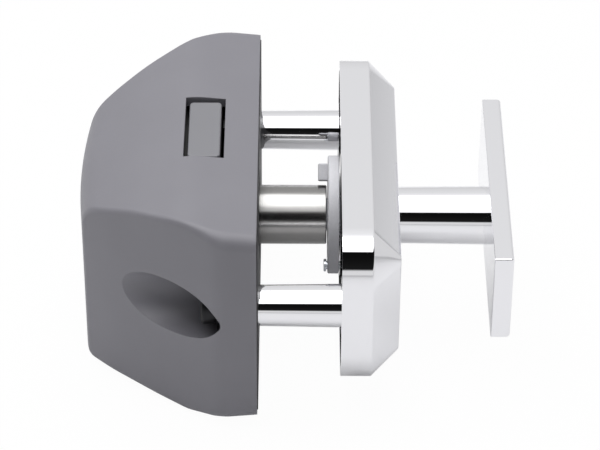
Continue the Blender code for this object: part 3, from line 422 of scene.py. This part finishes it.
def soften(corners, degrees=6):
    """An open line of (u, v, radius) corners with arcs for its inner corners."""
    points = [Vector(corner[:2]) for corner in corners]
    line = [points[0]]
    for before, here, after, corner in zip(points, points[1:], points[2:], corners[1:]):
        bend = pi - (before - here).angle(after - here)
        line += fillet(before, here, after, corner[2], max(2, ceil(bend / radians(degrees))))
    return line + [points[-1]]


def outline(x, corners, steps=8):
    """A closed ring across X from (y, z, radius) corners."""
    points = [Vector(corner[:2]) for corner in corners]
    ring = []
    for i, corner in enumerate(corners):
        arc = fillet(points[i - 1], points[i], points[(i + 1) % len(points)], corner[2], steps)
        ring += [(x, *point) for point in arc]
    return ring


def rounded_end(x, radius, steps):
    """The (x, inset) points of an edge that rounds over to a face at x."""
    return [(x - radius + radius * sin(a), radius - radius * cos(a))
            for a in np.linspace(0, pi / 2, steps)]


print("a softened right angle has", len(soften([(0, 0, 0), (5, 0, 1), (5, 5, 0)])), "points")

# %% [markdown]
# ## Lofts
# Every piece of the lock has its sections across the X axis, so one loft makes nearly all of
# them: a list of rings with the same number of points, joined by quads. Circles make turned
# pieces and rounded rectangles make plates. The loft turns millimetres into metres.

# %% Lofts, turned pieces and plates
ROUND_SIDES = 96
LEAST_RADIUS = 0.05  # keeps an arc, and so the same number of points, at every corner


def mesh_object(name, bm):
    """An object in the scene from a finished mesh."""
    bmesh.ops.recalc_face_normals(bm, faces=bm.faces)
    mesh = bpy.data.meshes.new(name)
    bm.to_mesh(mesh)
    bm.free()
    obj = bpy.data.objects.new(name, mesh)
    bpy.context.scene.collection.objects.link(obj)
    return obj


def loft(name, rings, closed=False):
    """Rings of points joined one after the other, with end caps or closed round."""
    bm = bmesh.new()
    rows = [[bm.verts.new(Vector(point) * MM) for point in ring] for ring in rings]
    pairs = list(zip(rows, rows[1:]))
    if closed:
        pairs.append((rows[-1], rows[0]))
    for first, second in pairs:
        for i in range(len(first)):
            k = (i + 1) % len(first)
            bm.faces.new((first[i], first[k], second[k], second[i]))
    if not closed:
        bm.faces.new(rows[0])
        bm.faces.new(list(reversed(rows[-1])))
    return mesh_object(name, bm)


def circle(x, radius, y=0, z=0, sides=ROUND_SIDES):
    return [(x, y + radius * cos(2 * pi * k / sides), z + radius * sin(2 * pi * k / sides))
            for k in range(sides)]


def turned(name, profile, y=0, z=0, sides=ROUND_SIDES, closed=False):
    """A turned piece along X from (x, radius) points."""
    return loft(name, [circle(x, radius, y, z, sides) for x, radius in profile], closed)


def bore(radius, low, high, y, z=0, sides=ROUND_SIDES):
    """A round cutter along X."""
    return turned("bore", [(low, radius), (high, radius)], y, z, sides)


def rectangle(x, half_y, low_z, high_z, radius):
    """A closed ring across X with four equal corners."""
    return outline(x, [(half_y, high_z, radius), (-half_y, high_z, radius),
                       (-half_y, low_z, radius), (half_y, low_z, radius)])


def slab(name, half_y, low_z, high_z, radius, profile):
    """A plate across X. The profile's (x, inset) points shape its edges."""
    return loft(name, [rectangle(x, half_y - inset, low_z + inset, high_z - inset,
                                 max(radius - inset, LEAST_RADIUS)) for x, inset in profile])


print("round pieces have", ROUND_SIDES, "sides")

# %% [markdown]
# ## Cutting, and putting a piece in place
# Holes and joints are Booleans. They are applied at once, so that the cutters can be removed and
# the piece is one plain mesh. A finished piece is shaded smooth but for its sharp edges. Its
# normals are weighted by face area, so that flats look flat beside their rounded edges. Then it
# rides on its CAD body and stands for its CAD nodes.

# %% Boolean and finishing tools
SHARP_DEGREES = 28


def apply_changes(target):
    """Turn an object's modifiers into its mesh."""
    bpy.context.view_layer.update()
    result = target.evaluated_get(bpy.context.evaluated_depsgraph_get())
    target.data = bpy.data.meshes.new_from_object(result)
    target.modifiers.clear()


def shape(target, tools, operation="DIFFERENCE"):
    """Cut the tools from the target or join them to it, then remove them."""
    for tool in tools:
        change = target.modifiers.new("change", "BOOLEAN")
        change.operation = operation
        change.object = tool
    apply_changes(target)
    for tool in tools:
        bpy.data.objects.remove(tool)
    return target


def show(piece, material, body, nodes):
    """Finish a piece and put it in place of its CAD nodes."""
    piece.data.materials.clear()
    piece.data.materials.append(material)
    piece.data.shade_smooth()
    piece.data.set_sharp_from_angle(angle=radians(SHARP_DEGREES))
    piece.modifiers.new("weights", "WEIGHTED_NORMAL").keep_sharp = True
    apply_changes(piece)
    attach(piece, body)
    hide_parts(*nodes)
    print(piece.name, "has", len(piece.data.polygons), "faces")


print("edges of more than", SHARP_DEGREES, "degrees stay sharp")

# %% [markdown]
# ## The case
# The case is one moulding that narrows away from the door. Its half length, its top and its
# bottom each follow a line of straights and arcs down its depth, and each section is a rounded
# rectangle between them. Its rings stand close together at the nose, where the front's edge
# turns.

# %% Case lines
DOOR = -19.0
CASE_DEPTH = 41.8
FRONT_HALF = 18.4
# Each point is (depth, distance from the axis, radius). The last one only gives the front
# corner its direction.
LENGTH_LINE = [(0, 41.2, 0), (8.8, 41.2, 8), (24, 31.2, 100), (CASE_DEPTH, FRONT_HALF, 1.5),
               (CASE_DEPTH, 0, 0)]
TOP_LINE = [(0, 24.6, 0), (16.5, 26.26, 20), (28, 22.8, 40), (CASE_DEPTH, 16.1, 8),
            (CASE_DEPTH, 0, 0)]
BOTTOM_LINE = [(0, 28.5, 0), (16.5, 30.19, 20), (CASE_DEPTH, 28.5, 2), (CASE_DEPTH, 0, 0)]
EDGE_DEPTHS = (8.8, 16.5)
EDGE_RADII = (3.4, 1.3)
LEAST_EDGE = 0.3
FRONT_BOW = 1.2
BOW_REACH = 9
NOSE = 8
PLAIN_START = 1
PLAIN_GAP = 0.8
PLAIN_RINGS = 32

print("the case reaches X", DOOR - CASE_DEPTH, "mm")

# %% [markdown]
# The front bows a little, so each ring has a top row and a bottom row with the same Y values,
# and the ends close with strips. A plain loft would put one flat cap there. The same form, drawn
# in by the wall, is the hollow.

# %% Case form
def strip_loft(name, rings):
    """Rings of an upper and a lower row, joined in depth and closed with strips."""
    bm = bmesh.new()
    made = [[[bm.verts.new(Vector(point) * MM) for point in row] for row in ring]
            for ring in rings]
    for (upper, lower), (next_upper, next_lower) in zip(made, made[1:]):
        around = upper + lower[::-1]
        next_around = next_upper + next_lower[::-1]
        for i in range(len(around)):
            k = (i + 1) % len(around)
            bm.faces.new((around[i], around[k], next_around[k], next_around[i]))
    for upper, lower in (made[0], made[-1]):
        for i in range(len(upper) - 1):
            bm.faces.new((upper[i], lower[i], lower[i + 1], upper[i + 1]))
    return mesh_object(name, bm)


def case_form(name, inset, first_depth, rows=28, corner_steps=8):
    """The case's outer form, or with an inset the form of its hollow."""
    lines = [np.array(soften(line, 3)[:-1]) for line in (LENGTH_LINE, TOP_LINE, BOTTOM_LINE)]
    nose_start = CASE_DEPTH - NOSE
    plain = list(np.linspace(PLAIN_START, nose_start - PLAIN_GAP, PLAIN_RINGS))
    nose = [nose_start + NOSE * sin(radians(a)) for a in range(0, 91, 5)]
    corner = [(sin(a), cos(a)) for a in np.linspace(pi / 2, 0, corner_steps + 1)]
    rings = []
    for depth in [0] + plain + nose:
        half, high, low = (np.interp(depth, line[:, 0], line[:, 1]) - inset for line in lines)
        share = depth / CASE_DEPTH
        edge = max(np.interp(depth, EDGE_DEPTHS, EDGE_RADII) - inset, LEAST_EDGE)
        side = [(half - edge + edge * s, edge - edge * c) for s, c in corner]
        flat = [((half - edge) * (1 - 2 * k / rows), 0) for k in range(1, rows)]
        row = side + flat + [(-y, drop) for y, drop in reversed(side)]
        bend = max(0, (depth - CASE_DEPTH + BOW_REACH) / BOW_REACH) ** 2
        placed = first_depth if depth == 0 else depth - inset * share
        xs = [DOOR - placed + FRONT_BOW * bend * (y / FRONT_HALF) ** 2 for y, _ in row]
        upper = [(x, y, high - drop) for x, (y, drop) in zip(xs, row)]
        lower = [(x, y, drop - low) for x, (y, drop) in zip(xs, row)]
        rings.append((upper, lower))
    return strip_loft(name, rings)


print("the front bows back by", FRONT_BOW, "mm at its ends")

# %% [markdown]
# The cut-outs come next: the hollow, the rebate for the base plate, the bolt's window, and at
# each end a deep well down to a screw. A well's mouth is a long oval only because a round bore
# comes out through the sloped end. The hollow leaves columns of plastic round every screw.

# %% Case cut-outs
OUTSIDE = -70
WALL = 2.4
RIM_SETBACK = 0.2
REBATE = -21.7
CHASSIS_SEAT = -38.2
WELL_FLOOR = -27.0
WELL = 7.5
WELL_COLUMN = 9.3
POST_SOCKET = 5.3
FIXING_HOLE = 2.8
BASE_COLUMN = 3.4
CHASSIS_COLUMN = 3.0
PILOT_HOLE = 1.6
POST_Y = 33.4
BASE_SCREWS = [(side * 24, level) for side in (-1, 1) for level in (20, -23.9)]
CHASSIS_SCREWS = [(side * 16, level) for side in (-1, 1) for level in (10, -10)]


def make_case():
    hollow = case_form("hollow", WALL, -2, rows=12, corner_steps=4)
    columns = [bore(WELL_COLUMN, OUTSIDE, REBATE, side * POST_Y, sides=48) for side in (-1, 1)]
    columns += [bore(BASE_COLUMN, OUTSIDE, REBATE, y, z, 24) for y, z in BASE_SCREWS]
    columns += [bore(CHASSIS_COLUMN, OUTSIDE, CHASSIS_SEAT, y, z, 24) for y, z in CHASSIS_SCREWS]
    shape(hollow, columns)
    case = case_form("case_shell", 0, RIM_SETBACK)
    cuts = [hollow,
            slab("rebate", half_y=40.3, low_z=-27.6, high_z=23.7, radius=2.4,
                 profile=[(REBATE, 0), (-17, 0)]),
            slab("window", half_y=11.4, low_z=19.8, high_z=30, radius=LEAST_RADIUS,
                 profile=[(-36.3, 0), (-27, 0)])]
    for side in (-1, 1):
        y = side * POST_Y
        cuts += [bore(WELL, OUTSIDE, WELL_FLOOR, y),
                 bore(POST_SOCKET, -24.5, -17, y, sides=48),
                 bore(FIXING_HOLE, -30, -23, y, sides=32)]
    cuts += [bore(PILOT_HOLE, -30, -18, y, z, 24) for y, z in BASE_SCREWS]
    cuts += [bore(PILOT_HOLE, -46.7, -35, y, z, 24) for y, z in CHASSIS_SCREWS]
    show(shape(case, cuts), case_abs, "lock_body", ["case"])


make_case()

# %% [markdown]
# ## The bolt
# The bolt is a flat bar that stands just below the window's rim. Its upright edges are rounded
# by 1 mm and its end by 0.4 mm. It is lofted along X like the rest and then turned upright.

# %% Bolt
BOLT_TOP = 25.2
BOLT_END_RADIUS = 0.4
CRANK_SLOT_Y = 6.035


def make_bolt():
    foot = [(-9.5, 0.3), (-9.2, 0)]
    bolt = slab("bolt_bar", half_y=10.5, low_z=27.9, high_z=35.4, radius=1.0,
                profile=foot + rounded_end(BOLT_TOP, BOLT_END_RADIUS, 6))
    bolt.data.transform(Matrix.Rotation(radians(-90), 4, "Y"))
    slot = slab("slot", half_y=3.5, low_z=-7.5, high_z=-2.5, radius=2.2,
                profile=[(-40, 0), (-25, 0)])
    slot.data.transform(Matrix.Translation((0, CRANK_SLOT_Y * MM, 0)))
    show(shape(bolt, [slot]), bolt_abs, "bolt", ["bolt"])


make_bolt()

# %% [markdown]
# ## The escutcheon
# The casting rises straight for 7 mm and leans in at 47 degrees to a smaller flat. Its corners
# aren't plain quarter circles: the top face droops, turns quickly, and runs on in a wide curve to
# the end. Chrome shows that at once, because the dark band of the room is drawn wide or narrow
# by the curve. So each corner of the outline is three short arcs with their own radii, and they
# shrink towards the front flat. Behind, the casting is hollow, with a boss round the stem and
# one at each post. The posts are cast with it, and taper so that they leave the mould.

# %% Escutcheon
HALF_LENGTH = 40.2
HALF_HEIGHT = 20.4
SIDE_HEIGHT = 7.0
FRONT = 13.4
BEVEL_INSET = 6.8
CORNER = [(0, 5.67, 12.9), (4.78, 0.55, 5.4), (8.2, 0, 19.5)]  # setbacks in Y and Z, radius
FRONT_CORNER_SHARE = 0.15
STEM_BOSS = 14.5
POST_BOSS = 6.8
POST_PROFILE = [(2, 4.97), (0, 4.97), (-23.8, 4.65), (-24.2, 4.3)]
STEM_BORE = 8.6
RETAINER_POCKET = 9.9
BEARING_SCREW_CIRCLE = 12
BEARING_SCREW_HOLE = 1.3
BEARING_SCREWS = [(BEARING_SCREW_CIRCLE * cos(radians(angle)),
                   BEARING_SCREW_CIRCLE * sin(radians(angle))) for angle in (-130, -40)]


def escutcheon_ring(x, inset):
    """The outline at one height. Its corners shrink as the bevel draws in."""
    share = 1 - (1 - FRONT_CORNER_SHARE) * min(inset / BEVEL_INSET, 1)
    quarter = [(HALF_LENGTH - inset - share * y, HALF_HEIGHT - inset - share * z, share * radius)
               for y, z, radius in CORNER]
    far = quarter + [(-y, z, radius) for y, z, radius in quarter[::-1]]
    return outline(x, far + [(-y, -z, radius) for y, z, radius in far])


def make_escutcheon():
    # The last point only says which way the front flat runs, and is then left out.
    edge = soften([(0, 0, 0), (SIDE_HEIGHT, 0, 0.6), (FRONT, BEVEL_INSET, 0.5), (FRONT, 12, 0)], 5)
    body = loft("escutcheon_casting", [escutcheon_ring(x, inset) for x, inset in edge[:-1]])
    pocket = slab("pocket", half_y=38, low_z=-18.2, high_z=18.2, radius=6.8,
                  profile=[(-2, 0), (7, 0)])
    bosses = [bore(STEM_BOSS, -4, 9, 0)]
    bosses += [bore(POST_BOSS, -4, 9, side * POST_Y) for side in (-1, 1)]
    shape(body, [shape(pocket, bosses)])
    shape(body, [turned("post", POST_PROFILE, side * POST_Y) for side in (-1, 1)], "UNION")
    holes = [bore(STEM_BORE, -2, 16, 0), bore(RETAINER_POCKET, -2, 5, 0)]
    holes += [bore(FIXING_HOLE, -26, -1, side * POST_Y, sides=32) for side in (-1, 1)]
    holes += [bore(BEARING_SCREW_HOLE, -2, 5.2, y, z, 24) for y, z in BEARING_SCREWS]
    show(shape(body, holes), chrome, "lock_body", ["escutcheon"])


make_escutcheon()

# %% [markdown]
# ## The bearing plate and the sleeve
# A dull zinc disc closes the boss behind the escutcheon. One square lug on it drops into a notch
# in the door, so that the lock can't turn. The turned sleeve carries the spindle on through.

# %% Bearing plate and sleeve
DISC_PROFILE = [(-0.3, 5.3), (-0.3, 13.8), (-0.5, 14), (-2.65, 14), (-2.9, 13.75), (-2.9, 5.3)]
SLEEVE_PROFILE = [(-3.2, 5.3), (-3.2, 6.75), (-3.45, 7), (-19.45, 7), (-19.7, 6.75),
                  (-19.7, 5.3)]
LUG_ANGLE = 50


def make_bearing_plate():
    disc = turned("bearing_disc", DISC_PROFILE, closed=True)
    lug = slab("lug", half_y=2.1, low_z=7.95, high_z=12.05, radius=0.3,
               profile=[(-5.2, 0.25), (-4.95, 0), (-2.5, 0)])
    lug.data.transform(Matrix.Rotation(radians(LUG_ANGLE - 90), 4, "X"))
    shape(disc, [lug], "UNION")
    shape(disc, [bore(BEARING_SCREW_HOLE, -5, 2, y, z, 24) for y, z in BEARING_SCREWS])
    show(disc, tumbled_zinc, "lock_body", ["bearing_plate"])


def make_sleeve():
    sleeve = turned("spindle_tube", SLEEVE_PROFILE, closed=True)
    show(sleeve, turned_steel, "handle", ["spindle_sleeve"])


make_bearing_plate()
make_sleeve()

# %% [markdown]
# ## The handle
# The grip is a flat bar. Its outer edges were rubbed to about 1 mm and its inner ones are
# nearly sharp. The stem widens by a hair towards it. They are one casting, so they are joined
# with a Boolean and not left to overlap. The spindle's square socket stands on its corner, and
# a cross hole takes the pin that holds the spindle.

# %% Handle
GRIP_BACK = 34.7
GRIP_FRONT = 39.2
BACK_EDGE = 0.3
FRONT_EDGE = 0.9
STEM_PROFILE = [(1.2, 6.3), (1.5, 6.6), (2.3, 6.6), (2.3, 6.0), (3.9, 6.0), (3.9, 6.6),
                (13.7, 6.6), (13.7, 6.7), (GRIP_BACK, 6.95), (37, 6.95)]
PIN_X = 8.5
SPINDLE_TURN = radians(45)


def make_handle():
    back = [(GRIP_BACK + BACK_EDGE - BACK_EDGE * cos(a), BACK_EDGE - BACK_EDGE * sin(a))
            for a in np.linspace(0, pi / 2, 5)]
    handle = slab("t_handle", half_y=30.8, low_z=-11.65, high_z=11.65, radius=0.4,
                  profile=back + rounded_end(GRIP_FRONT, FRONT_EDGE, 9))
    shape(handle, [turned("stem", STEM_PROFILE)], "UNION")
    socket = slab("socket", half_y=3.8, low_z=-3.8, high_z=3.8, radius=LEAST_RADIUS,
                  profile=[(-2, 0), (14.8, 0)])
    socket.data.transform(Matrix.Rotation(SPINDLE_TURN, 4, "X"))
    cross = turned("cross", [(-9, 1.5), (9, 1.5)], sides=24)
    cross.data.transform(Matrix.Rotation(radians(90), 4, "Y"))
    cross.data.transform(Matrix.Rotation(SPINDLE_TURN, 4, "X"))
    cross.data.transform(Matrix.Translation((PIN_X * MM, 0, 0)))
    show(shape(handle, [socket, cross]), chrome, "handle", ["handle"])


make_handle()

# %% [markdown]
# ## Screws
# The fixing screws stand at the bottom of the wells, the base screws lie flush in the plate at
# the door, and two small ones hold the bearing plate. Each is a turned head and shank with a
# hexagon socket. A socket is a six-sided bore, so the same cutter serves all.

# %% Screws
FIXING = {"seat": -28.6, "towards": 1, "radius": 2.5, "length": 24, "head_radius": 4.4,
          "head_height": 3.4, "socket": 2, "finish": black_oxide, "slot": "black_oxide"}
BASE = {"seat": -20.4, "towards": -1, "radius": 1.3, "length": 7.6, "head_radius": 2.5,
        "head_height": 1.1, "socket": 1.3, "finish": zinc_plate, "slot": "zinc_plate"}
BEARING = {"seat": -3.2, "towards": 1, "radius": 1, "length": 6.4, "head_radius": 1.5,
           "head_height": 0.6, "socket": 0.8, "finish": zinc_plate, "slot": "zinc_plate"}


def screw(name, node, y, z, seat, towards, radius, length, head_radius, head_height, socket,
          finish, slot):
    """A socket screw. Its shank leaves the seat towards +X or -X."""
    tip = seat + towards * length
    top = seat - towards * head_height
    soft = 0.25 * head_height
    line = [(tip, radius * 0.7), (tip - towards * radius * 0.5, radius), (seat, radius),
            (seat, head_radius)]
    for a in np.linspace(0, pi / 2, 5):
        line.append((top + towards * soft * (1 - sin(a)), head_radius - soft * (1 - cos(a))))
    body = turned(name, line, y, z, 48)
    low, high = sorted((top - towards, top + towards * head_height * 0.55))
    shape(body, [bore(socket, low, high, y, z, 6)])
    show(body, finish, "lock_body", [node])


for number, side in ((1, -1), (2, 1)):
    screw(f"fixing_bolt_{number}", f"fixing_screw_{number}", side * POST_Y, 0, **FIXING)
for number, (y, z) in enumerate(BASE_SCREWS, 1):
    screw(f"plate_screw_{number}", f"base_screw_{number}", y, z, **BASE)
for number, (y, z) in enumerate(BEARING_SCREWS, 1):
    screw(f"disc_screw_{number}", f"bearing_screw_{number}", y, z, **BEARING)

# %% [markdown]
# ## Pieces that keep their CAD shape
# The pieces inside, and the flat base plate, already have the right shape. They keep their CAD
# meshes and only take a material.

# %% Materials on CAD pieces
# The base plate's near black is partly painted shade, and the acetal's black is painted shade.
CAD_FINISHES = {
    "base_plate": base_abs_painted_shade, "chassis": acetal, "hub_bush": acetal, "stem_bush": acetal,
    "crank_hub": tumbled_zinc, "crank_pin": turned_steel, "spindle": zinc_plate,
    "spindle_pin": spring_steel, "handle_circlip": spring_steel, "wave_washer": spring_steel,
    "detent_spring": spring_steel, "detent_screw": zinc_plate,
    "fixing_washer_1": black_oxide, "fixing_washer_2": black_oxide,
    "chassis_screw_1": zinc_plate, "chassis_screw_2": zinc_plate,
    "chassis_screw_3": zinc_plate, "chassis_screw_4": zinc_plate,
}
for node, material in CAD_FINISHES.items():
    for material_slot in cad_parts[node].material_slots:
        material_slot.material = material
print(len(CAD_FINISHES), "CAD pieces dressed")
